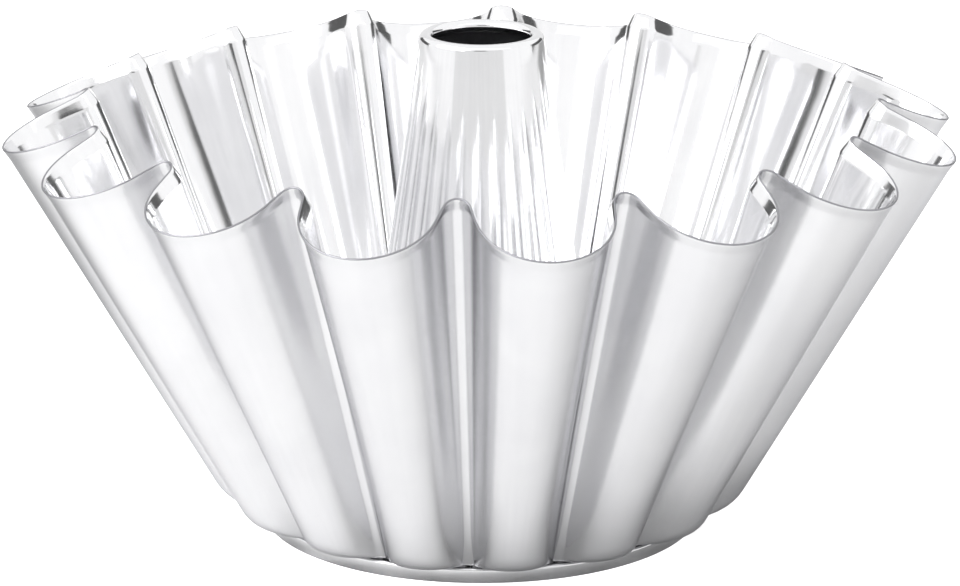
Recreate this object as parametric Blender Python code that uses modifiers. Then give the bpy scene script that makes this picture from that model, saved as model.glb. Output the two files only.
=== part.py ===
"""Fluted tube pan: a fluted sheet-metal shell, a ring-shaped floor and a conical centre tube.

The floor's two edges are folded round small flanges on the shell and on the tube, so the three
pieces are locked to each other. Metres, +Z up. The origin is the middle of the plane that the pan
stands on, and a flute faces each of +X, -X, +Y and -Y.
"""
import math

import bmesh
import bpy

# The flutes. A lobe is the round front of a flute and a ridge is the fold between two flutes.
FLUTE_COUNT = 16
RIM_RADIUS = 0.1100  # lip edge in the middle of a lobe
RIM_FLUTE_DEPTH = 0.0187  # from there in to the lip edge in the middle of a ridge
LOBE_RIM_HEIGHT = 0.0920  # lip edge in the middle of a lobe
RIM_RISE = 0.0088  # from there up to the lip edge in the middle of a ridge
RIDGE_FOLD_AT_RIM = 0.0026  # radius of the ridge's fold, on the lip edge
RIDGE_FOLD_AT_FOOT = 0.0016
FLANK_ANGLE_AT_RIM = math.radians(15.0)  # between a flank and the ridge's own radius
FLANK_ANGLE_AT_FOOT = math.radians(35.0)
LOBE_FOOT_RADIUS = 0.0593  # where a lobe's straight front would meet the sole
TOE_OVERHANG = 0.0078  # from the outside of the seam ring out to that place
RIDGE_FOOT_SETBACK = 0.0010  # from the shell's collar out to the foot of a ridge
TOE_ROUNDING = 0.0120  # under the middle of a lobe

# The lip: the last stretch below the edge leans further out than the wall.
LIP_HEIGHT_AT_LOBE = 0.0023
LIP_HEIGHT_AT_RIDGE = 0.0030
LIP_FLARE_AT_LOBE = 0.0003
LIP_FLARE_AT_RIDGE = 0.0012

# The sheet and its folded seams.
SHEET = 0.0005
CLEARANCE = 0.0003  # between neighbouring sheets
SEAM_HEIGHT = 0.0037
SEAM_ROUNDING = 0.0003  # lower corner of a seam ring
FLOOR_HEIGHT = 0.0032  # top of the floor above the standing plane

# The centre tube.
TUBE_HEIGHT = 0.1155
TUBE_MOUTH_RADIUS = 0.0112
TUBE_TAPER = math.radians(8.2)  # from the upright
BEAD_RADIUS = 0.0016  # rolled bead round the mouth
BEAD_GAP = 0.00046  # from the end of the bead's curl to the tube's wall

# Facets.
RIDGE_SEGMENTS = 2  # half a ridge
LOBE_SEGMENTS = 3  # half a lobe
TOE_SEGMENTS = 3
BEAD_SEGMENTS = 7
TURNED_STEPS = 64

# Worked out from the sizes above.
PITCH = SHEET + CLEARANCE  # from one sheet of a seam to the next
RIDGE_RIM_RADIUS = RIM_RADIUS - RIM_FLUTE_DEPTH
RIDGE_RIM_HEIGHT = LOBE_RIM_HEIGHT + RIM_RISE
SEAM_RADIUS = LOBE_FOOT_RADIUS - TOE_OVERHANG  # outside of the ring that the pan stands on
SHELL_COLLAR = SEAM_RADIUS - 2 * PITCH  # outer face of the shell's collar
SOLE_HEIGHT = SEAM_HEIGHT + CLEARANCE  # underside of the toes
FLANGE_TOP = PITCH + SHEET
HALF_FLUTE = math.pi / FLUTE_COUNT
LOBE_WALL_RADIUS = RIM_RADIUS - LIP_FLARE_AT_LOBE
RIDGE_WALL_RADIUS = RIDGE_RIM_RADIUS - LIP_FLARE_AT_RIDGE
RIDGE_WALL_FOLD = RIDGE_FOLD_AT_RIM + LIP_FLARE_AT_RIDGE
RIDGE_FOOT_RADIUS = SHELL_COLLAR + RIDGE_FOOT_SETBACK
BEAD_CENTRE_RADIUS = TUBE_MOUTH_RADIUS + BEAD_RADIUS
BEAD_CENTRE_HEIGHT = TUBE_HEIGHT - BEAD_RADIUS
BEAD_CURL = BEAD_RADIUS - SHEET / 2  # to the middle of the curled sheet
BEAD_TURN = 2 * math.pi - math.acos(1 - (SHEET + BEAD_GAP) / BEAD_CURL)


def mix(low, high, share):
    """Value between two others."""
    return low + (high - low) * share


def half_flute(level):
    """Outer face of half a flute in plan, as (x, y, normal angle), from ridge to lobe.

    The ridge's middle lies on +X. The ridge's fold and the lobe's front are arcs, and their common
    tangent is the flank. Level 0 is the foot and level 1 the rim, without the lip's flare.
    """
    lobe = mix(LOBE_FOOT_RADIUS, LOBE_WALL_RADIUS, level)
    ridge = mix(RIDGE_FOOT_RADIUS, RIDGE_WALL_RADIUS, level)
    fold = mix(RIDGE_FOLD_AT_FOOT, RIDGE_WALL_FOLD, level)
    flank = mix(FLANK_ANGLE_AT_FOOT, FLANK_ANGLE_AT_RIM, level)
    lean = math.sin(HALF_FLUTE - flank)
    front = (lobe * lean + ridge * math.sin(flank) - fold * (1 - math.sin(flank))) / (1 + lean)
    centre_x = (lobe - front) * math.cos(HALF_FLUTE)
    centre_y = (lobe - front) * math.sin(HALF_FLUTE)
    points = []
    for i in range(RIDGE_SEGMENTS + 1):
        turn = mix(math.pi, math.pi / 2 + flank, i / RIDGE_SEGMENTS)
        x = ridge + fold + fold * math.cos(turn)
        points.append((x, fold * math.sin(turn), turn - math.pi))
    for i in range(LOBE_SEGMENTS + 1):
        turn = mix(flank - math.pi / 2, HALF_FLUTE, i / LOBE_SEGMENTS)
        x = centre_x + front * math.cos(turn)
        points.append((x, centre_y + front * math.sin(turn), turn))
    return points


def wall_point(column, height, rim):
    """Point (radius, angle, height) on the straight wall of one column.

    The rim is the column's full height, the height of its lip and the lip's flare.
    """
    rim_height, lip_height, flare = rim
    level = (height - SOLE_HEIGHT) / (rim_height - SOLE_HEIGHT)
    x, y, normal = half_flute(level)[column]
    reach = flare * max(0.0, 1 - (rim_height - height) / lip_height)
    x += reach * math.cos(normal)
    y += reach * math.sin(normal)
    return math.hypot(x, y), math.atan2(y, x), height


def shell_column(column):
    """One column of the shell's outer face, from the lip edge down to the flange."""
    x, y, _ = half_flute(1)[column]
    inward = (LOBE_WALL_RADIUS - math.hypot(x, y)) / (LOBE_WALL_RADIUS - RIDGE_WALL_RADIUS)
    rim_height = mix(LOBE_RIM_HEIGHT, RIDGE_RIM_HEIGHT, inward)
    lip_height = mix(LIP_HEIGHT_AT_LOBE, LIP_HEIGHT_AT_RIDGE, inward)
    rim = (rim_height, lip_height, mix(LIP_FLARE_AT_LOBE, LIP_FLARE_AT_RIDGE, inward))

    # The toe is rounded in proportion to how far the column's foot stands out from the collar.
    foot, _, _ = wall_point(column, SOLE_HEIGHT, rim)
    knee, _, _ = wall_point(column, mix(SOLE_HEIGHT, rim_height, 0.5), rim)
    slope = math.atan2(knee - foot, (rim_height - SOLE_HEIGHT) / 2)
    overhang = foot - SHELL_COLLAR
    reach = math.cos(slope) - (1 - math.sin(slope)) * math.tan(slope)
    rounding = TOE_ROUNDING * overhang / (LOBE_FOOT_RADIUS - SHELL_COLLAR)
    rounding = min(rounding, 0.85 * overhang / reach)
    toe_height = SOLE_HEIGHT + rounding * (1 - math.sin(slope))

    heights = [
        rim_height,
        rim_height - lip_height,
        mix(toe_height, rim_height - lip_height, 0.5),
        toe_height,
    ]
    points = [wall_point(column, height, rim) for height in heights]
    toe_radius = points[-1][0] - rounding * math.cos(slope)
    for i in range(1, TOE_SEGMENTS + 1):
        turn = mix(slope, math.pi / 2, i / TOE_SEGMENTS)
        height = SOLE_HEIGHT + rounding * (1 - math.sin(turn))
        angle = wall_point(column, height, rim)[1]
        points.append((toe_radius + rounding * math.cos(turn), angle, height))
    angle = points[-1][1]
    points.append((SHELL_COLLAR, angle, SOLE_HEIGHT))
    points.append((SHELL_COLLAR, angle, FLANGE_TOP))
    points.append((SEAM_RADIUS - PITCH, angle, FLANGE_TOP))
    return points


def shell_columns():
    """Every column round the shell, anticlockwise, each a list of (x, y, z)."""
    half = [shell_column(i) for i in range(RIDGE_SEGMENTS + LOBE_SEGMENTS + 2)]
    columns = []
    for flute in range(FLUTE_COUNT):
        lobe_angle = 2 * HALF_FLUTE * flute
        rising = [[(r, lobe_angle - HALF_FLUTE + a, z) for r, a, z in column] for column in half]
        falling = [[(r, lobe_angle + HALF_FLUTE - a, z) for r, a, z in column] for column in half]
        columns += rising + falling[-2:0:-1]
    return [[(r * math.cos(a), r * math.sin(a), z) for r, a, z in column] for column in columns]


def seam_profile(collar, side):
    """Half of the floor's section: a fold round a flange, from its hook to the floor's edge.

    The collar is the middle of the sheet that is gripped, as a radius. The side is 1 where the
    flange turns out from it and -1 where it turns in. Points are (radius, height).
    """
    hook = collar + side * PITCH
    wall = collar + side * 2 * PITCH
    chuck = collar - side * PITCH
    low = SHEET / 2
    high = SEAM_HEIGHT - SHEET / 2
    floor = FLOOR_HEIGHT - SHEET / 2
    # The top of the fold is half a hexagon, with its flat side up.
    shoulder = high - PITCH / 2 * math.sin(math.radians(60.0))
    return [
        (hook, FLANGE_TOP + CLEARANCE),
        (hook, shoulder),
        (hook + side * PITCH / 4, high),
        (wall - side * PITCH / 4, high),
        (wall, shoulder),
        (wall, low + SEAM_ROUNDING),
        (wall - side * SEAM_ROUNDING, low),
        (chuck, low),
        (chuck, floor),
    ]


def tube_profile():
    """Middle of the tube's sheet, from the end of its curl over the bead and down to its flange."""
    profile = []
    for i in range(BEAD_SEGMENTS + 1):
        turn = mix(TUBE_TAPER + BEAD_TURN, TUBE_TAPER, i / BEAD_SEGMENTS)
        radius = BEAD_CENTRE_RADIUS + BEAD_CURL * math.cos(turn)
        profile.append((radius, BEAD_CENTRE_HEIGHT + BEAD_CURL * math.sin(turn)))
    collar = tube_collar()
    flange = FLANGE_TOP - SHEET / 2
    profile.append((collar, SOLE_HEIGHT))
    profile.append((collar, flange))
    profile.append((collar - 2 * PITCH + SHEET / 2 + CLEARANCE, flange))
    return profile


def tube_collar():
    """Radius of the tube's straight foot, in the middle of its sheet."""
    top_radius = BEAD_CENTRE_RADIUS + BEAD_CURL * math.cos(TUBE_TAPER)
    top_height = BEAD_CENTRE_HEIGHT + BEAD_CURL * math.sin(TUBE_TAPER)
    return top_radius + (top_height - SOLE_HEIGHT) * math.tan(TUBE_TAPER)


def new_material(name, colour, roughness):
    """Bare metal as a Principled BSDF."""
    material = bpy.data.materials.new(name)
    material.use_nodes = True
    shader = material.node_tree.nodes["Principled BSDF"]
    shader.inputs["Base Color"].default_value = (*colour, 1.0)
    shader.inputs["Metallic"].default_value = 1.0
    shader.inputs["Roughness"].default_value = roughness
    return material


def new_object(name, mesh, material, collection, parent):
    """Put a mesh into the pan, as one named piece."""
    mesh.materials.append(material)
    piece = bpy.data.objects.new(name, mesh)
    piece.parent = parent
    collection.objects.link(piece)
    return piece


def add_solidify(piece, offset):
    """Give a piece's open surface the sheet's thickness."""
    modifier = piece.modifiers.new("sheet", "SOLIDIFY")
    modifier.thickness = SHEET
    modifier.offset = offset
    modifier.use_even_offset = True
    modifier.use_rim = True


def add_turned(name, profile, material, collection, parent):
    """Turn a sheet's section, given as (radius, height) points, round the pan's axis."""
    mesh = bpy.data.meshes.new(name)
    points = [(radius, 0.0, height) for radius, height in profile]
    mesh.from_pydata(points, [(i, i + 1) for i in range(len(points) - 1)], [])
    piece = new_object(name, mesh, material, collection, parent)
    screw = piece.modifiers.new("turn", "SCREW")
    screw.axis = "Z"
    screw.angle = 2 * math.pi
    screw.steps = TURNED_STEPS
    screw.render_steps = TURNED_STEPS
    screw.use_merge_vertices = True
    screw.merge_threshold = 0.00001
    screw.use_smooth_shade = True
    add_solidify(piece, 0.0)
    return piece


def add_fluted_shell(material, collection, parent):
    """Pressed wall: a loft from sixteen flutes at the rim down to a round collar and its flange."""
    columns = shell_columns()
    builder = bmesh.new()
    grid = [[builder.verts.new(point) for point in column] for column in columns]
    for near, far in zip(grid, grid[1:] + grid[:1]):
        for row in range(len(near) - 1):
            builder.faces.new((near[row], near[row + 1], far[row + 1], far[row]))
    mesh = bpy.data.meshes.new("fluted_shell")
    builder.to_mesh(mesh)
    builder.free()
    mesh.shade_smooth()
    mesh.set_sharp_from_angle(angle=math.radians(50.0))
    piece = new_object("fluted_shell", mesh, material, collection, parent)
    add_solidify(piece, -1.0)
    return piece


def add_base_disc(material, collection, parent):
    """Ring-shaped floor, folded round the tube's flange inside and the shell's flange outside."""
    inner = seam_profile(tube_collar(), -1)
    outer = seam_profile(SHELL_COLLAR - SHEET / 2, 1)
    return add_turned("base_disc", inner + outer[::-1], material, collection, parent)


def add_centre_tube(material, collection, parent):
    """Conical tube with a rolled bead round its mouth and a turned-in flange at its foot."""
    return add_turned("centre_tube", tube_profile(), material, collection, parent)


def main():
    for old in list(bpy.data.objects):
        bpy.data.objects.remove(old, do_unlink=True)
    collection = bpy.data.collections.new("fluted_tube_pan")
    bpy.context.scene.collection.children.link(collection)
    axis = bpy.data.objects.new("pan_axis", None)
    collection.objects.link(axis)

    shell_metal = new_material("shell_tinplate", (0.80, 0.80, 0.81), 0.24)
    base_metal = new_material("base_tinplate", (0.76, 0.76, 0.77), 0.28)
    tube_metal = new_material("tube_tinplate", (0.82, 0.82, 0.83), 0.18)
    add_fluted_shell(shell_metal, collection, axis)
    add_base_disc(base_metal, collection, axis)
    add_centre_tube(tube_metal, collection, axis)


main()
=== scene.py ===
"""Fluted tube pan: the pieces that are seen, their tinplate finishes and a plain studio.

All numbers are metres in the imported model's frame: +Z up, the origin in the middle of the plane
that the pan stands on, and a flute facing each of +X, -X, +Y and -Y.
"""
import math

import bpy
import numpy as np
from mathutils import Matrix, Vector


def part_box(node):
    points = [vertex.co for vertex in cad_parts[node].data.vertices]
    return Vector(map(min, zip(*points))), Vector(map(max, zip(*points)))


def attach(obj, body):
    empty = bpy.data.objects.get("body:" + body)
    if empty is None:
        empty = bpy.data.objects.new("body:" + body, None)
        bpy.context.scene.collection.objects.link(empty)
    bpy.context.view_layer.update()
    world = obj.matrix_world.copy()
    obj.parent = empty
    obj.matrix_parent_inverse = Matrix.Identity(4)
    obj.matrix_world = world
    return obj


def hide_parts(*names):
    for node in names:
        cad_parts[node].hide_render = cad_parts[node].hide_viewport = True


bl_info = {
    "name": "Fluted Tube Pan",
    "version": (1, 0, 0),
    "blender": (4, 5, 0),
    "location": "View3D > Sidebar > Tube Pan",
    "description": "Dresses a fluted tinplate tube pan and sets it in a plain studio",
    "category": "Add Mesh",
}

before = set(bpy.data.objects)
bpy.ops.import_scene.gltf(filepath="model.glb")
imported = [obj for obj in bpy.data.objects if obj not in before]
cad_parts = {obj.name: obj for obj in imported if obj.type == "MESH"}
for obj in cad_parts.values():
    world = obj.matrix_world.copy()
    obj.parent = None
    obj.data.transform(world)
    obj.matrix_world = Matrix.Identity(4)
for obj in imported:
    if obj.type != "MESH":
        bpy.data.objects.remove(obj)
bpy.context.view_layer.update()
FLUTES = 16
HALF_FLUTE = math.pi / FLUTES

# The pressed wall's finer sizes. The crease is a share of the lip's height, and the largest toe a
# share of how far the wall's foot stands out from the collar.
LIP_AT_LOBE = 0.0023
LIP_AT_RIDGE = 0.0030
LIP_CREASE = 0.12
LOBE_FLARE = 0.0003
RIDGE_FLARE = 0.0012
FOLD_AT_RIM = 0.0026
FOLD_AT_FOOT = 0.0016
FLANK_AT_RIM = math.radians(15.0)
FLANK_AT_FOOT = math.radians(35.0)
RIDGE_SETBACK = 0.0010
LARGEST_TOE = 0.85

# Radii of the small bends in the seams and at the tube's foot.
COLLAR_BEND = 0.0003
RING_BEND = 0.0006
CHUCK_BEND = 0.0004
TUBE_FOOT_BEND = 0.0020
TUBE_FLANGE_BEND = 0.0004

# A seam goes over its flange in two bends. Their radius is this share of half the pitch between its
# sheets, so that a short straight is left between the bends.
FOLD_SHARE = 0.98

# Facets of the fine meshes: steps along each part, the turn of one step in a bend, and the longest
# step along the floor and down the tube.
RIDGE_STEPS = 6
FLANK_STEPS = 4
LOBE_STEPS = 12
LIP_STEPS = 3
CREASE_STEPS = 4
WALL_STEPS = 14
TOE_STEPS = 8
BEND_STEPS = 3
BEND_STEP_TURN = math.radians(18.0)
EDGE_STEPS = 4
BEAD_STEPS = 28
TURNED_STEPS = 240
LONGEST_FLOOR_STEP = 0.0015
LONGEST_TUBE_STEP = 0.004


# ---------------------------------------------------------------- settings


class PanShellSettings(bpy.types.PropertyGroup):
    """Sizes of the fluted wall."""

    rim_radius: bpy.props.FloatProperty(
        name="Rim radius", description="From the axis to the lip in the middle of a lobe",
        default=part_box("fluted_shell")[1].x, min=0.02, unit="LENGTH", precision=4)
    rim_height: bpy.props.FloatProperty(
        name="Lobe height", description="Height of the lip in the middle of a lobe",
        default=0.0920, min=0.02, unit="LENGTH", precision=4)
    ridge_radius: bpy.props.FloatProperty(
        name="Ridge radius", description="From the axis to the lip in the middle of a ridge",
        default=0.0913, min=0.02, unit="LENGTH", precision=4)
    ridge_height: bpy.props.FloatProperty(
        name="Ridge height", description="Height of the lip in the middle of a ridge",
        default=0.1008, min=0.02, unit="LENGTH", precision=4)
    lobe_foot: bpy.props.FloatProperty(
        name="Lobe foot radius", description="Where a lobe's straight front would meet the sole",
        default=0.0593, min=0.02, unit="LENGTH", precision=4)
    toe_rounding: bpy.props.FloatProperty(
        name="Toe rounding", description="Radius of the rounding under the middle of a lobe",
        default=0.0120, min=0.0, unit="LENGTH", precision=4)
    sheet: bpy.props.FloatProperty(
        name="Sheet", description="Thickness of the tinplate, the same in all three pieces",
        default=0.0005, min=0.0001, unit="LENGTH", precision=5)


class PanBaseSettings(bpy.types.PropertyGroup):
    """Sizes of the floor and its folded seams."""

    seam_radius: bpy.props.FloatProperty(
        name="Foot ring radius", description="Outside of the ring that the pan stands on",
        default=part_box("base_disc")[1].x, min=0.01, unit="LENGTH", precision=4)
    seam_height: bpy.props.FloatProperty(
        name="Foot ring height", description="Top of the folded seam above the standing plane",
        default=0.0037, min=0.001, unit="LENGTH", precision=4)
    floor_height: bpy.props.FloatProperty(
        name="Floor height", description="Top of the floor above the standing plane",
        default=0.0032, min=0.001, unit="LENGTH", precision=4)
    clearance: bpy.props.FloatProperty(
        name="Seam clearance", description="Gap between neighbouring sheets of a seam",
        default=0.0003, min=0.0, unit="LENGTH", precision=5)


class PanTubeSettings(bpy.types.PropertyGroup):
    """Sizes of the centre tube."""

    height: bpy.props.FloatProperty(
        name="Tube height", description="Top of the rolled bead above the standing plane",
        default=0.1155, min=0.02, unit="LENGTH", precision=4)
    mouth_radius: bpy.props.FloatProperty(
        name="Mouth radius", description="Free radius inside the rolled bead",
        default=0.0112, min=0.002, unit="LENGTH", precision=4)
    taper: bpy.props.FloatProperty(
        name="Taper", description="Angle between the tube's wall and the upright",
        default=math.radians(8.2), min=0.0, max=0.6, subtype="ANGLE")
    bead_radius: bpy.props.FloatProperty(
        name="Bead radius", description="Radius of the rolled bead round the mouth",
        default=0.0016, min=0.0005, unit="LENGTH", precision=4)
    bead_turn: bpy.props.FloatProperty(
        name="Bead turn", description="How far round the sheet curls in the bead",
        default=math.radians(287.0), min=0.5, max=6.0, subtype="ANGLE")


class PanStageSettings(bpy.types.PropertyGroup):
    """Floor, light and camera."""

    floor_colour: bpy.props.StringProperty(
        name="Floor colour", description="sRGB hex value of the floor", default="f4f4f4")
    floor_glow: bpy.props.FloatProperty(
        name="Floor glow", description="Light that the lit table gives by itself",
        default=0.7, min=0.0)
    room_light: bpy.props.FloatProperty(
        name="Room light", description="Brightness of the white room", default=1.12, min=0.0)
    key_light: bpy.props.FloatProperty(
        name="Key light", description="Power of the large soft light on the left",
        default=35.0, min=0.0, unit="POWER")
    azimuth: bpy.props.FloatProperty(
        name="Camera azimuth", description="Turn of the camera round the pan, from -Y towards +X",
        default=math.radians(-8.07), subtype="ANGLE")
    elevation: bpy.props.FloatProperty(
        name="Camera elevation", description="Angle of the camera above the horizontal",
        default=math.radians(16.73), subtype="ANGLE")
    distance: bpy.props.FloatProperty(
        name="Camera distance", description="From the pan's middle to the camera",
        default=1.0366, min=0.2, unit="LENGTH")
    lens: bpy.props.FloatProperty(
        name="Lens", description="Focal length on a 36 mm wide sensor, in millimetres",
        default=166.8, min=10.0, unit="CAMERA")


# ---------------------------------------------------------------- meshes


def ramp(low, high, share):
    """Low at share 0 and high at share 1, in between by proportion, for numbers or whole arrays."""
    return low + (high - low) * share


def unit(vectors):
    """The same vectors with length 1."""
    return vectors / np.maximum(np.linalg.norm(vectors, axis=-1, keepdims=True), 1e-12)


def sheet_of(face, out, back):
    """Closed solid of a sheet, from a face given as points on a grid of (row, column).

    The rows run down the sheet and the columns round the pan. A point's normal is the cross product
    of the grid's two directions. The sheet's outer side is the face moved by `out` along the
    normals, its inner side the face moved by `back` against them, and a half circle joins the sides
    at each end: middle + half thickness * (cos t * normal + sin t * direction of the edge).
    Gives the points, and for each row which side it is on: 0 outer, 1 edge, 2 inner.
    """
    down = unit(np.gradient(face, axis=0))
    around = np.roll(face, -1, axis=1) - np.roll(face, 1, axis=1)
    normal = unit(np.cross(down, around))
    middle = face + normal * (out - back) / 2
    half = (out + back) / 2
    turn = np.linspace(0.0, math.pi, EDGE_STEPS + 1)[1:-1, None, None]
    foot = middle[-1] + half * (np.cos(turn) * normal[-1] + np.sin(turn) * down[-1])
    lip = middle[0] - half * (np.cos(turn) * normal[0] + np.sin(turn) * down[0])
    outer, inner = middle + half * normal, (middle - half * normal)[::-1]
    side = np.repeat([0, 1, 2, 1], [len(outer), len(foot), len(inner), len(lip)])
    return np.concatenate([outer, foot, inner, lip]), side


def path_length(face):
    """How far down the sheet each point of a face lies from its first row."""
    steps = np.linalg.norm(np.diff(face, axis=0), axis=-1)
    return np.concatenate([np.zeros((1, face.shape[1])), np.cumsum(steps, axis=0)])


def closed_grid(rows, columns):
    """Faces of a grid that closes on itself both ways, as indices row * columns + column."""
    row, column = np.meshgrid(np.arange(rows), np.arange(columns), indexing="ij")
    below, beside = (row + 1) % rows, (column + 1) % columns
    corners = (row * columns + column, below * columns + column,
               below * columns + beside, row * columns + beside)
    return np.stack(corners, axis=-1).reshape(-1, 4)


def signed_volume(points, quads):
    """Sum over the faces of corner . (edge x diagonal) / 6, positive where they point outwards."""
    a, b, c, d = (points[quads[:, i]] for i in range(4))
    first = np.einsum("ij,ij->i", a, np.cross(b, c))
    second = np.einsum("ij,ij->i", a, np.cross(c, d))
    return float((first + second).sum() / 6)


def sheet_piece(name, face, out, back, finishes, node):
    """A sheet as a mesh object that stands for a CAD node and rides on the pan's one body.

    The finishes are the materials of its outer face, its cut edges and its inner face. The `grain`
    attribute holds, for each point, a place on a circle by its column and how far down the sheet it
    lies, so that a pattern on it follows the way the sheet was drawn or turned.
    """
    solid, side = sheet_of(face, out, back)
    rows, columns, _ = solid.shape
    points = solid.reshape(-1, 3)
    quads = closed_grid(rows, columns)
    if signed_volume(points, quads) < 0:
        quads = quads[:, ::-1]
    mesh = bpy.data.meshes.new(name)
    mesh.from_pydata(points, [], quads.tolist())
    for finish in finishes:
        mesh.materials.append(finish)

    # A row of faces takes the outer or the inner finish where both its ends are on that side.
    ends = np.stack([side, np.roll(side, -1)])
    row_slot = (ends.max(axis=0) > 0).astype(np.int32) + (ends.min(axis=0) == 2)
    mesh.polygons.foreach_set("material_index", np.repeat(row_slot, columns))
    mesh.polygons.foreach_set("use_smooth", np.ones(len(quads), dtype=bool))

    depth = path_length(face)
    foot = np.repeat(depth[-1:], EDGE_STEPS - 1, axis=0)
    depth = np.concatenate([depth, foot, depth[::-1], np.zeros_like(foot)])
    angle = np.broadcast_to(np.linspace(0.0, 2 * math.pi, columns, endpoint=False), depth.shape)
    reach = float(np.hypot(face[..., 0], face[..., 1]).mean())
    grain = np.stack([reach * np.cos(angle), reach * np.sin(angle), depth], axis=-1)
    attribute = mesh.attributes.new("grain", "FLOAT_VECTOR", "POINT")
    attribute.data.foreach_set("vector", grain.astype(np.float32).ravel())
    mesh.update()

    piece = bpy.data.objects.new(name, mesh)
    bpy.context.scene.collection.objects.link(piece)
    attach(piece, "root")
    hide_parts(node)
    return piece


def rounded_line(corners):
    """Line through (radius, height, rounding) corners, with an arc of that radius at each corner.

    The arc touches both sides of its corner at rounding * tan(half the turn) from it, and is cut
    into equal turns.
    """
    line = [corners[0][:2]]
    for before, here, after in zip(corners, corners[1:], corners[2:]):
        a, b, c = (np.array(p[:2]) for p in (before, here, after))
        into, onward = unit(b - a), unit(c - b)
        turn = math.atan2(into[0] * onward[1] - into[1] * onward[0], float(into @ onward))
        if here[2] <= 0 or abs(turn) < 1e-6:
            line.append(tuple(b))
            continue
        start = b - into * here[2] * math.tan(abs(turn) / 2)
        inward = math.copysign(1.0, turn) * np.array([-into[1], into[0]])
        centre = start + inward * here[2]
        steps = max(BEND_STEPS, round(abs(turn) / BEND_STEP_TURN))
        for i in range(steps + 1):
            part = turn * i / steps
            arm = start - centre
            line.append((centre[0] + arm[0] * math.cos(part) - arm[1] * math.sin(part),
                         centre[1] + arm[0] * math.sin(part) + arm[1] * math.cos(part)))
    line.append(corners[-1][:2])
    return np.array(line)


def divided(line, longest):
    """The same line with more points, so that no stretch is longer than `longest`."""
    parts = [line[:1]]
    for a, b in zip(line, line[1:]):
        count = max(1, math.ceil(float(np.linalg.norm(b - a)) / longest))
        share = np.arange(1, count + 1)[:, None] / count
        parts.append(ramp(a, b, share))
    return np.concatenate(parts)


def turned(line):
    """Grid of points of a (radius, height) line turned round the axis: (r cos a, r sin a, z)."""
    angle = np.linspace(0.0, 2 * math.pi, TURNED_STEPS, endpoint=False)
    radius, height = line[:, :1], np.broadcast_to(line[:, 1:], (len(line), TURNED_STEPS))
    return np.stack([radius * np.cos(angle), radius * np.sin(angle), height], axis=-1)


# ---------------------------------------------------------------- the pan's shapes


class Seams:
    """Where the three sheets meet, worked out from the settings."""

    def __init__(self, scene):
        shell, base, tube = scene.pan_shell, scene.pan_base, scene.pan_tube
        self.sheet = shell.sheet
        self.clearance = base.clearance
        self.pitch = self.sheet + base.clearance
        self.flange_top = self.pitch + self.sheet
        self.sole = base.seam_height + base.clearance
        self.shell_collar = base.seam_radius - 2 * self.pitch
        self.curl = tube.bead_radius - self.sheet / 2
        self.bead_centre = tube.mouth_radius + tube.bead_radius
        self.bead_height = tube.height - tube.bead_radius
        top = self.bead_centre + self.curl * math.cos(tube.taper)
        drop = self.bead_height + self.curl * math.sin(tube.taper) - self.sole
        self.tube_collar = top + drop * math.tan(tube.taper)


def flute_plan(share, level, shell, seams):
    """Outer face of half a flute in plan, as x, y and the normal's angle; the ridge is on +X.

    Share 0 to 1 is the ridge's fold, an arc; 1 to 2 is the flank, the straight common tangent; and
    2 to 3 is the lobe's front, an arc whose radius makes it meet the tangent:
    front = (lobe sin(h - f) + ridge sin f - fold (1 - sin f)) / (1 + sin(h - f)), where f is the
    flank's angle and h half a flute's. Every size runs evenly from the foot, level 0, to the rim.
    """
    lobe = ramp(shell.lobe_foot, shell.rim_radius - LOBE_FLARE, level)
    ridge = ramp(seams.shell_collar + RIDGE_SETBACK, shell.ridge_radius - RIDGE_FLARE, level)
    fold = ramp(FOLD_AT_FOOT, FOLD_AT_RIM + RIDGE_FLARE, level)
    flank = ramp(FLANK_AT_FOOT, FLANK_AT_RIM, level)
    lean = np.sin(HALF_FLUTE - flank)
    front = (lobe * lean + ridge * np.sin(flank) - fold * (1 - np.sin(flank))) / (1 + lean)
    ridge_turn = ramp(math.pi, math.pi / 2 + flank, np.clip(share, 0, 1))
    lobe_turn = ramp(flank - math.pi / 2, HALF_FLUTE, np.clip(share - 2, 0, 1))
    ridge_x, ridge_y = ridge + fold + fold * np.cos(ridge_turn), fold * np.sin(ridge_turn)
    lobe_x = (lobe - front) * math.cos(HALF_FLUTE) + front * np.cos(lobe_turn)
    lobe_y = (lobe - front) * math.sin(HALF_FLUTE) + front * np.sin(lobe_turn)
    blend = np.clip(share - 1, 0, 1)
    normal = np.where(share < 2, ridge_turn - math.pi, lobe_turn)
    return ramp(ridge_x, lobe_x, blend), ramp(ridge_y, lobe_y, blend), normal


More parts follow.
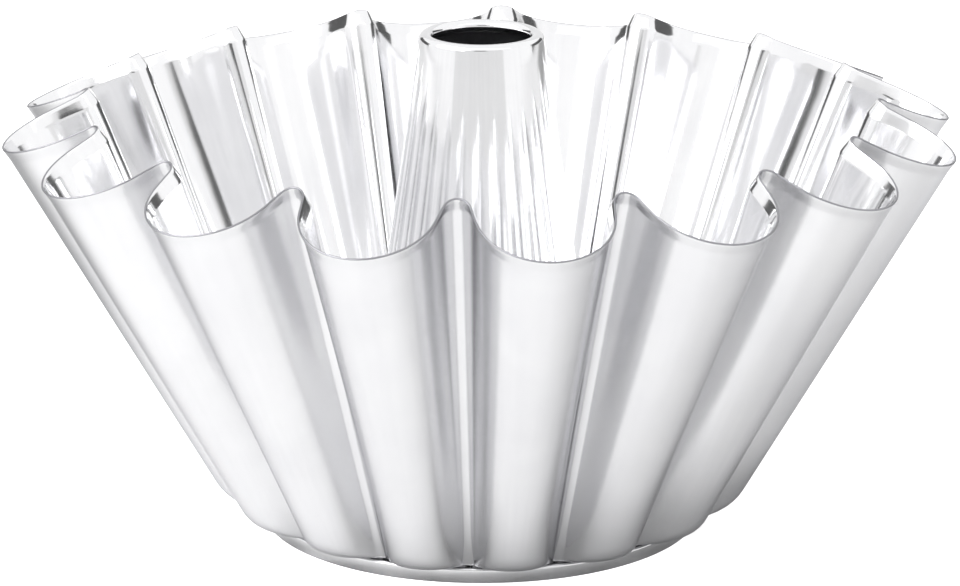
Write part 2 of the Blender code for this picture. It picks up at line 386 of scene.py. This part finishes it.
def fluted_face(shell, seams):
    """Grid of points of the shell's outer face, from the lip down to the flange in its seam."""
    parts = [np.arange(RIDGE_STEPS) / RIDGE_STEPS, 1 + np.arange(FLANK_STEPS) / FLANK_STEPS,
             2 + np.arange(LOBE_STEPS + 1) / LOBE_STEPS]
    share = np.concatenate(parts)[None, :]
    lobe_wall, ridge_wall = shell.rim_radius - LOBE_FLARE, shell.ridge_radius - RIDGE_FLARE

    # The lip's height and flare follow how far in from the lobe's front a column stands.
    x, y, _ = flute_plan(share, np.ones_like(share), shell, seams)
    inward = (lobe_wall - np.hypot(x, y)) / (lobe_wall - ridge_wall)
    rim = ramp(shell.rim_height, shell.ridge_height, inward)
    flare = ramp(LOBE_FLARE, RIDGE_FLARE, inward)
    lip = ramp(LIP_AT_LOBE, LIP_AT_RIDGE, inward)

    def wall(height):
        """Radius and angle: above a crease the lip leans out evenly, below it the wall is straight.

        With t the share of the lip's height, the lean is (t + c)^2 / 4c within c of the crease.
        """
        level = (height - seams.sole) / (rim - seams.sole)
        x, y, normal = flute_plan(share, level, shell, seams)
        t = 1 - (rim - height) / lip
        crease = (np.clip(t, -LIP_CREASE, LIP_CREASE) + LIP_CREASE) ** 2 / (4 * LIP_CREASE)
        bend = flare * np.where(t > LIP_CREASE, t, crease)
        x, y = x + bend * np.cos(normal), y + bend * np.sin(normal)
        return np.hypot(x, y), np.arctan2(y, x)

    # The toe is rounded in proportion to how far the column's foot stands out from the collar.
    foot, _ = wall(np.full_like(rim, seams.sole))
    knee, _ = wall(ramp(seams.sole, rim, 0.5))
    slope = np.arctan2(knee - foot, (rim - seams.sole) / 2)
    overhang = foot - seams.shell_collar
    reach = np.cos(slope) - (1 - np.sin(slope)) * np.tan(slope)
    rounding = shell.toe_rounding * overhang / (shell.lobe_foot - seams.shell_collar)
    rounding = np.minimum(rounding, LARGEST_TOE * overhang / reach)
    toe = seams.sole + rounding * (1 - np.sin(slope))

    # The edge's rounding stands a little above the first row, so that row starts a little lower.
    lip_share = np.concatenate([
        np.linspace(shell.sheet / 4 / LIP_AT_LOBE, 1 - LIP_CREASE, LIP_STEPS, endpoint=False),
        np.linspace(1 - LIP_CREASE, 1 + LIP_CREASE, CREASE_STEPS + 1)])[:, None]
    wall_share = np.linspace(0.0, 1.0, WALL_STEPS + 1)[1:, None]
    crease = rim - lip * (1 + LIP_CREASE)
    height = np.concatenate([rim - lip * lip_share, ramp(crease, toe, wall_share)])
    radius, angle = wall(height)

    turn = ramp(slope, math.pi / 2, np.arange(1, TOE_STEPS + 1)[:, None] / TOE_STEPS)
    toe_height = seams.sole + rounding * (1 - np.sin(turn))
    toe_radius = radius[-1:] + rounding * (np.cos(turn) - np.cos(slope))
    _, toe_angle = wall(toe_height)

    # The collar and the flange are round, with a small bend above and below the collar.
    collar = seams.shell_collar
    line = rounded_line([
        (collar + 4 * COLLAR_BEND, seams.sole, 0),
        (collar, seams.sole, COLLAR_BEND),
        (collar, seams.flange_top, COLLAR_BEND),
        (collar + seams.pitch, seams.flange_top, 0),
    ])[1:]
    tail_radius = np.broadcast_to(line[:, :1], (len(line), share.shape[1]))
    tail_height = np.broadcast_to(line[:, 1:], tail_radius.shape)
    tail_angle = np.broadcast_to(toe_angle[-1:], tail_radius.shape)

    radius = np.concatenate([radius, toe_radius, tail_radius])
    height = np.concatenate([height, toe_height, tail_height])
    angle = np.concatenate([angle, toe_angle, tail_angle])

    # One flute is a half and its mirror image, and the pan has sixteen.
    radius = np.concatenate([radius, radius[:, -2:0:-1]], axis=1)
    height = np.concatenate([height, height[:, -2:0:-1]], axis=1)
    angle = np.concatenate([angle - HALF_FLUTE, HALF_FLUTE - angle[:, -2:0:-1]], axis=1)
    start = np.repeat(2 * HALF_FLUTE * np.arange(FLUTES), radius.shape[1])
    radius, height = np.tile(radius, FLUTES), np.tile(height, FLUTES)
    angle = np.tile(angle, FLUTES) + start
    return np.stack([radius * np.cos(angle), radius * np.sin(angle), height], axis=-1)


def seam_line(collar, side, base, seams):
    """Corners of a fold round a flange, from its hook to the floor's edge, in mid-sheet."""
    hook, wall = collar + side * seams.pitch, collar + side * 2 * seams.pitch
    chuck = collar - side * seams.pitch
    low, high = seams.sheet / 2, base.seam_height - seams.sheet / 2
    floor = base.floor_height - seams.sheet / 2
    fold = seams.pitch / 2 * FOLD_SHARE
    return [
        (hook, seams.flange_top + seams.clearance, 0),
        (hook, high, fold),
        (wall, high, fold),
        (wall, low, RING_BEND),
        (chuck, low, CHUCK_BEND),
        (chuck, floor, RING_BEND),
    ]


# ---------------------------------------------------------------- finishes

# A Mix node's two colour inputs and its colour output, by number.
MIX_FIRST, MIX_SECOND, MIX_RESULT = 6, 7, 2

# The tin's patterns, in repeats per metre: clouds about 25 mm across, draw lines 0.8 mm apart and
# forty times as long down the sheet, the pressing's waves about 12 mm across, and scratches about
# 4 mm apart.
CLOUD_SCALE = 40.0
LINE_SCALE = 1250.0
LINE_STRETCH = (1.0, 1.0, 0.025)
WAVE_SCALE = 85.0
SCRATCH_SCALE = 260.0

# How much the draw lines count beside the clouds, how far a scratch reaches to each side as a share
# of the distance to the next one, and how deep it is beside the draw lines.
LINE_SHARE = 0.35
SCRATCH_WIDTH = 0.03
SCRATCH_SHARE = 0.15

# What the clouds and draw lines add up to where the tin is clean and where it is dulled, and the
# share of the roughness that each has. A wider range of roughness shows as blotches.
CLEAN_TO_DULL = {"From Min": 0.45, "From Max": 0.95}
CLEAN_ROUGHNESS = 0.90
DULL_ROUGHNESS = 1.12


def linear(hex_value):
    """Linear RGBA of an sRGB hex value."""
    channels = [int(hex_value[i:i + 2], 16) / 255 for i in (0, 2, 4)]
    bent = [c / 12.92 if c <= 0.04045 else ((c + 0.055) / 1.055) ** 2.4 for c in channels]
    return (*bent, 1.0)


def add_node(tree, kind, settings=None, **links):
    """Adds a node, sets its properties and sockets, and links its inputs.

    Settings holds property names, and socket names or numbers. Links holds input sockets, each with
    the output socket that feeds it: by name, with spaces as underscores, or by number after an i.
    """
    node = tree.nodes.new(kind)
    for key, value in (settings or {}).items():
        if isinstance(key, str) and hasattr(node, key):
            setattr(node, key, value)
        else:
            node.inputs[key].default_value = value
    for key, source in links.items():
        name = int(key[1:]) if key[0] == "i" and key[1:].isdigit() else key.replace("_", " ")
        tree.links.new(source, node.inputs[name])
    return node


def tinplate(name, colour, dull, edge, roughness, waviness, scratches):
    """Tinned sheet steel, rolled, then drawn and left bare.

    To the eye: a neutral, very light metal with broad soft waves from the pressing, faint lines
    along the way it was drawn, and a few fine scratches that catch the light. `colour` and `dull`
    are hex values of the clean and the dulled tin, and `edge` of its tint at a glancing angle.
    `waviness` and `scratches` are the depths of the waves and of the finer marks.
    """
    material = bpy.data.materials.new(name)
    material.use_nodes = True
    tree = material.node_tree
    shader = tree.nodes["Principled BSDF"]
    shader.inputs["Metallic"].default_value = 1.0
    shader.inputs["Specular Tint"].default_value = linear(edge)
    place = add_node(tree, "ShaderNodeTexCoord").outputs["Object"]
    grain = add_node(tree, "ShaderNodeAttribute", {"attribute_name": "grain"}).outputs["Vector"]

    # Cloudy dulling of the tin, and the draw lines that follow the grain down the sheet.
    clouds = add_node(tree, "ShaderNodeTexNoise",
                      {"Scale": CLOUD_SCALE, "Detail": 4.0, "Roughness": 0.6}, Vector=place)
    along = add_node(tree, "ShaderNodeMapping", {"Scale": LINE_STRETCH}, Vector=grain)
    lines = add_node(tree, "ShaderNodeTexNoise", {"Scale": LINE_SCALE, "Detail": 2.0},
                     Vector=along.outputs["Vector"])
    mixed = add_node(tree, "ShaderNodeMath", {"operation": "MULTIPLY_ADD", 1: LINE_SHARE},
                     i0=lines.outputs["Fac"], i2=clouds.outputs["Fac"])
    tone = add_node(tree, "ShaderNodeMapRange", CLEAN_TO_DULL, Value=mixed.outputs["Value"])
    shade = add_node(tree, "ShaderNodeMix", {"data_type": "RGBA"}, Factor=tone.outputs["Result"])
    shade.inputs[MIX_FIRST].default_value = linear(colour)
    shade.inputs[MIX_SECOND].default_value = linear(dull)
    tree.links.new(shade.outputs[MIX_RESULT], shader.inputs["Base Color"])
    gloss = add_node(tree, "ShaderNodeMapRange",
                     {**CLEAN_TO_DULL, "To Min": roughness * CLEAN_ROUGHNESS,
                      "To Max": roughness * DULL_ROUGHNESS},
                     Value=mixed.outputs["Value"])
    tree.links.new(gloss.outputs["Result"], shader.inputs["Roughness"])

    # The pressing's waves, then the draw lines, then the fine scratches, each on the one before.
    waves = add_node(tree, "ShaderNodeTexNoise", {"Scale": WAVE_SCALE, "Detail": 1.0},
                     Vector=place)
    marks = add_node(tree, "ShaderNodeTexVoronoi",
                     {"feature": "DISTANCE_TO_EDGE", "Scale": SCRATCH_SCALE}, Vector=place)
    cut = add_node(tree, "ShaderNodeMapRange",
                   {"From Max": SCRATCH_WIDTH, "To Min": 1.0, "To Max": 0.0},
                   Value=marks.outputs["Distance"])
    wavy = add_node(tree, "ShaderNodeBump", {"Strength": 1.0, "Distance": waviness},
                    Height=waves.outputs["Fac"])
    drawn = add_node(tree, "ShaderNodeBump", {"Strength": 1.0, "Distance": scratches},
                     Height=lines.outputs["Fac"], Normal=wavy.outputs["Normal"])
    fine = add_node(tree, "ShaderNodeBump", {"Strength": SCRATCH_SHARE, "Distance": scratches},
                    Height=cut.outputs["Result"], Normal=drawn.outputs["Normal"])
    tree.links.new(fine.outputs["Normal"], shader.inputs["Normal"])
    return material


def cut_edge(way):
    """Steel laid bare by a cut: to the eye, a thin line darker and duller than the tin by it."""
    return tinplate(f"steel_cut_edge_{way}", "9c9ca0", "8e8e92", "ffffff",
                    roughness=0.34, waviness=0.00002, scratches=0.000001)


def plain_material(name, colour, roughness, emission=0.0):
    """Evenly coloured surface of the stage."""
    material = bpy.data.materials.new(name)
    material.use_nodes = True
    shader = material.node_tree.nodes["Principled BSDF"]
    shader.inputs["Base Color"].default_value = linear(colour)
    shader.inputs["Roughness"].default_value = roughness
    shader.inputs["Emission Color"].default_value = (1.0, 1.0, 1.0, 1.0)
    shader.inputs["Emission Strength"].default_value = emission
    return material


def painted_shade_material(name, colour, painted_shade_spots):
    """Matt surface of the stage with round spots of painted shade that fade into it.

    Each patch has its colour, its centre, and how far from the centre it starts and is full.
    """
    material = plain_material(name, colour, roughness=1.0)
    tree = material.node_tree
    base = tree.nodes["Principled BSDF"].inputs["Base Color"]
    place = add_node(tree, "ShaderNodeTexCoord").outputs["Object"]
    for shade_colour, centre, start, full in painted_shade_spots:
        radius = add_node(tree, "ShaderNodeVectorMath", {"operation": "DISTANCE", 1: centre},
                          i0=place)
        share = add_node(tree, "ShaderNodeMapRange",
                         {"interpolation_type": "SMOOTHSTEP", "From Min": start, "From Max": full},
                         Value=radius.outputs["Value"])
        mix = add_node(tree, "ShaderNodeMix", {"data_type": "RGBA"}, Factor=share.outputs["Result"])
        mix.inputs[MIX_FIRST].default_value = linear(colour)
        mix.inputs[MIX_SECOND].default_value = linear(shade_colour)
        if base.is_linked:
            tree.links.new(base.links[0].from_socket, mix.inputs[MIX_FIRST])
        tree.links.new(mix.outputs[MIX_RESULT], base)
    return material


# ---------------------------------------------------------------- studio

# The floor that the camera sees is lit from below, so it stays white close to the pan. The metal
# mirrors a matt board just above it, which keeps the pan's own soft shade. On the board is painted
# shade, darker places that stand in for shadow: to the left and a little behind the pan, to its
# right, far behind it on both sides, and a painted contact shadow round its foot. Each has its
# colour, the turn and the distance of its centre from the pan, and the radii where it starts and
# where it is full.
MIRRORED_FLOOR = 0.0002
MIRRORED_COLOUR = "e7e7e7"
MIRRORED_PAINTED_SHADE = (
    ("a2a2a2", -112, 0.215, 0.155, 0.030),
    ("d9d9d9", 62, 0.148, 0.130, 0.050),
    ("c4c4c4", -128, 1.100, 0.850, 0.400),
    ("909090", 143, 1.200, 0.750, 0.420),
    # Painted contact shadow round the pan's foot.
    ("b6b6b6", 105, 0.012, 0.080, 0.058),
)

# Boards and soft boxes that only the metal mirrors. Each has its left, right, lower and upper edge
# in degrees as seen from the pan, with 0 towards the camera and + to the camera's right, then its
# distance in metres and its brightness.
STUDIO_CARDS = (
    ("front_curtain", -48, 22, 0, 29, 5.7, 0.87),
    ("front_right_curtain", 22, 40, 0, 29, 5.7, 0.87),
    ("right_curtain", 40, 96, 0, 30, 5.7, 1.12),
    ("camera_and_stand", -13, 10, 20.5, 28.5, 4.5, 0.05),
    ("top_front_soft_box", -62, 62, 32, 46, 4.8, 1.5),
    ("back_left_board", -152, -112, 0, 18, 4.8, 0.10),
    ("back_right_board", 104, 150, 0, 18, 4.8, 0.10),
    ("back_curtain", 150, 208, 0, 36, 5.7, 0.90),
)

# Half a side of the two floors, the key light's width, height, turn, rise and distance, and the
# middle of the camera's circle with the point that the camera looks at.
FLOOR_REACH = 6.0
KEY_LIGHT_SIZE = (2.0, 1.4)
KEY_LIGHT_PLACE = (-62.0, 40.0, 1.9)
CAMERA_MIDDLE = Vector((0.0, 0.0, 0.050))
CAMERA_AIM = Vector((-0.00031, 0.00004, 0.05317))


def square(reach, height):
    """Corners of a level square round the axis."""
    return [(-reach, -reach, height), (reach, -reach, height),
            (reach, reach, height), (-reach, reach, height)]


def studio_point(stage, turn, rise, distance):
    """Point in a direction from the pan's middle: degrees right of the camera and above level."""
    turn, rise = math.radians(turn) + stage.azimuth, math.radians(rise)
    flat = distance * math.cos(rise)
    return Vector((flat * math.sin(turn), -flat * math.cos(turn), distance * math.sin(rise)))


def card_corners(stage, left, right, low, high, distance):
    """Corners of an upright-leaning card between four directions, all at one distance."""
    return [studio_point(stage, turn, rise, distance)
            for turn, rise in ((left, low), (right, low), (right, high), (left, high))]


# ---------------------------------------------------------------- operators


class PAN_OT_fluted_shell(bpy.types.Operator):
    """Add the pressed wall with its sixteen flutes"""

    bl_idname = "pan.fluted_shell"
    bl_label = "Fluted shell"

    def execute(self, context):
        scene = context.scene
        seams = Seams(scene)
        finishes = (
            tinplate("tinplate_satin_drawn", "e4e4e5", "dbdbdd", "d4d4d6",
                     roughness=0.24, waviness=0.00002, scratches=0.000001),
            cut_edge("drawn"),
            tinplate("tinplate_bright_drawn", "f0f0f1", "e6e6e8", "ffffff",
                     roughness=0.13, waviness=0.00004, scratches=0.000001),
        )
        face = fluted_face(scene.pan_shell, seams)
        sheet_piece("shell_fluted_wall", face, 0.0, seams.sheet, finishes,
                    "fluted_shell")
        return {"FINISHED"}


class PAN_OT_base_disc(bpy.types.Operator):
    """Add the ring-shaped floor with its two folded seams"""

    bl_idname = "pan.base_disc"
    bl_label = "Base disc"

    def execute(self, context):
        scene = context.scene
        seams = Seams(scene)
        inner = seam_line(seams.tube_collar, -1, scene.pan_base, seams)
        outer = seam_line(seams.shell_collar - seams.sheet / 2, 1, scene.pan_base, seams)
        line = divided(rounded_line(inner + outer[::-1]), LONGEST_FLOOR_STEP)
        # The turned satin tin is greyer than the wall's outer tin: painted shade, as the foot ring
        # stands in the pan's contact shadow.
        finishes = (
            tinplate("tinplate_satin_turned_painted_shade", "d4d4d6", "c8c8ca", "c4c4c6",
                     roughness=0.24, waviness=0.00003, scratches=0.000004),
            cut_edge("turned"),
            tinplate("tinplate_bright_turned", "e6e6e7", "dadadc", "ffffff",
                     roughness=0.14, waviness=0.00003, scratches=0.000003),
        )
        half = seams.sheet / 2
        sheet_piece("base_floor_and_seams", turned(line), half, half, finishes,
                    "base_disc")
        return {"FINISHED"}


class PAN_OT_centre_tube(bpy.types.Operator):
    """Add the conical tube with its rolled bead"""

    bl_idname = "pan.centre_tube"
    bl_label = "Centre tube"

    def execute(self, context):
        scene = context.scene
        tube, seams = scene.pan_tube, Seams(scene)
        turn = np.linspace(tube.taper + tube.bead_turn, tube.taper, BEAD_STEPS + 1)
        curl = np.stack([seams.bead_centre + seams.curl * np.cos(turn),
                         seams.bead_height + seams.curl * np.sin(turn)], axis=-1)
        collar = seams.tube_collar
        flange = seams.flange_top - seams.sheet / 2
        end = collar - 2 * seams.pitch + seams.sheet / 2 + seams.clearance
        foot = rounded_line([(*curl[-1], 0), (collar, seams.sole, TUBE_FOOT_BEND),
                             (collar, flange, TUBE_FLANGE_BEND), (end, flange, 0)])
        line = np.concatenate([curl, divided(foot, LONGEST_TUBE_STEP)[1:]])
        # The bore's tin is far darker than the same sheet's outer tin: painted shade inside the
        # narrow tube.
        finishes = (
            tinplate("tinplate_bright_rolled", "f0f0f1", "e6e6e8", "ffffff",
                     roughness=0.11, waviness=0.00003, scratches=0.000001),
            cut_edge("rolled"),
            tinplate("tinplate_satin_rolled_painted_shade", "b4b4b8", "a0a0a4", "ffffff",
                     roughness=0.32, waviness=0.00004, scratches=0.000004),
        )
        half = seams.sheet / 2
        sheet_piece("tube_cone_and_bead", turned(line), half, half, finishes,
                    "centre_tube")
        return {"FINISHED"}


class PAN_OT_stage(bpy.types.Operator):
    """Add the pale floor, the soft light and the camera"""

    bl_idname = "pan.stage"
    bl_label = "Stage"

    def execute(self, context):
        scene, stage = context.scene, context.scene.pan_stage
        opal = plain_material("acrylic_opal_backlit", stage.floor_colour,
                              roughness=0.9, emission=stage.floor_glow)
        # The board's painted shade: darker spots that stand in for shadow on the table round the
        # pan.
        painted_shade_spots = [(colour, studio_point(stage, turn, 0.0, distance), start, full)
                   for colour, turn, distance, start, full in MIRRORED_PAINTED_SHADE]
        board = painted_shade_material("board_matt_painted_shade", MIRRORED_COLOUR, painted_shade_spots)
        self.add_card("studio_floor", square(FLOOR_REACH, 0.0), opal)
        mirrored = [self.add_card("mirrored_floor", square(FLOOR_REACH, MIRRORED_FLOOR), board)]
        for name, left, right, low, high, distance, tone in STUDIO_CARDS:
            corners = card_corners(stage, left, right, low, high, distance)
            face = plain_material(f"board_{name}", "000000", roughness=1.0, emission=tone)
            mirrored.append(self.add_card(name, corners, face))
        for card in mirrored:
            card.visible_camera = False
            card.visible_diffuse = False
            card.visible_shadow = False

        world = bpy.data.worlds.new("white_room")
        world.use_nodes = True
        background = world.node_tree.nodes["Background"]
        background.inputs["Color"].default_value = (1.0, 1.0, 1.0, 1.0)
        background.inputs["Strength"].default_value = stage.room_light
        scene.world = world
        scene.view_settings.view_transform = "Standard"
        scene.view_settings.look = "None"

        self.add_key_light(scene, stage)
        self.add_camera(scene, stage)
        return {"FINISHED"}

    def add_card(self, name, corners, material):
        """One flat four-sided piece of the studio."""
        mesh = bpy.data.meshes.new(name)
        mesh.from_pydata(corners, [], [(0, 1, 2, 3)])
        mesh.materials.append(material)
        card = bpy.data.objects.new(name, mesh)
        bpy.context.scene.collection.objects.link(card)
        return card

    def add_key_light(self, scene, stage):
        """Large soft light to the camera's left, aimed at the pan."""
        light = bpy.data.lights.new("key_light", "AREA")
        light.shape = "RECTANGLE"
        light.size, light.size_y = KEY_LIGHT_SIZE
        light.energy = stage.key_light
        holder = bpy.data.objects.new("key_light", light)
        holder.location = studio_point(stage, *KEY_LIGHT_PLACE)
        holder.rotation_euler = (-holder.location).to_track_quat("-Z", "Y").to_euler()
        scene.collection.objects.link(holder)

    def add_camera(self, scene, stage):
        """Camera on a circle round the pan's middle, aimed a little above it."""
        camera = bpy.data.cameras.new("camera")
        camera.sensor_fit = "HORIZONTAL"
        camera.sensor_width = 36.0
        camera.lens = stage.lens
        camera.clip_end = 50.0
        flat = math.cos(stage.elevation)
        back = Vector((math.sin(stage.azimuth) * flat, -math.cos(stage.azimuth) * flat,
                       math.sin(stage.elevation)))
        holder = bpy.data.objects.new("camera", camera)
        holder.location = CAMERA_MIDDLE + back * stage.distance
        holder.rotation_euler = (CAMERA_AIM - holder.location).to_track_quat("-Z", "Y").to_euler()
        scene.collection.objects.link(holder)
        scene.camera = holder


class PAN_PT_sidebar(bpy.types.Panel):
    """The pan's pieces and sizes in the 3D view's sidebar"""

    bl_idname = "PAN_PT_sidebar"
    bl_label = "Fluted Tube Pan"
    bl_space_type = "VIEW_3D"
    bl_region_type = "UI"
    bl_category = "Tube Pan"

    def draw(self, context):
        groups = (("pan_shell", "pan.fluted_shell"), ("pan_base", "pan.base_disc"),
                  ("pan_tube", "pan.centre_tube"), ("pan_stage", "pan.stage"))
        for group, operator in groups:
            box = self.layout.box()
            settings = getattr(context.scene, group)
            for name in settings.__annotations__:
                box.prop(settings, name)
            box.operator(operator)


SETTINGS = {"pan_shell": PanShellSettings, "pan_base": PanBaseSettings,
            "pan_tube": PanTubeSettings, "pan_stage": PanStageSettings}
CLASSES = (*SETTINGS.values(), PAN_OT_fluted_shell, PAN_OT_base_disc, PAN_OT_centre_tube,
           PAN_OT_stage, PAN_PT_sidebar)


def register():
    """Adds the classes, and the settings of each piece to the scene."""
    for cls in CLASSES:
        bpy.utils.register_class(cls)
    for name, group in SETTINGS.items():
        setattr(bpy.types.Scene, name, bpy.props.PointerProperty(type=group))


def unregister():
    """Takes the settings and the classes away again."""
    for name in SETTINGS:
        delattr(bpy.types.Scene, name)
    for cls in reversed(CLASSES):
        bpy.utils.unregister_class(cls)


def main():
    """Builds the pan and its stage."""
    register()
    bpy.ops.pan.fluted_shell()
    bpy.ops.pan.base_disc()
    bpy.ops.pan.centre_tube()
    bpy.ops.pan.stage()


if __name__ == "__main__":
    main()
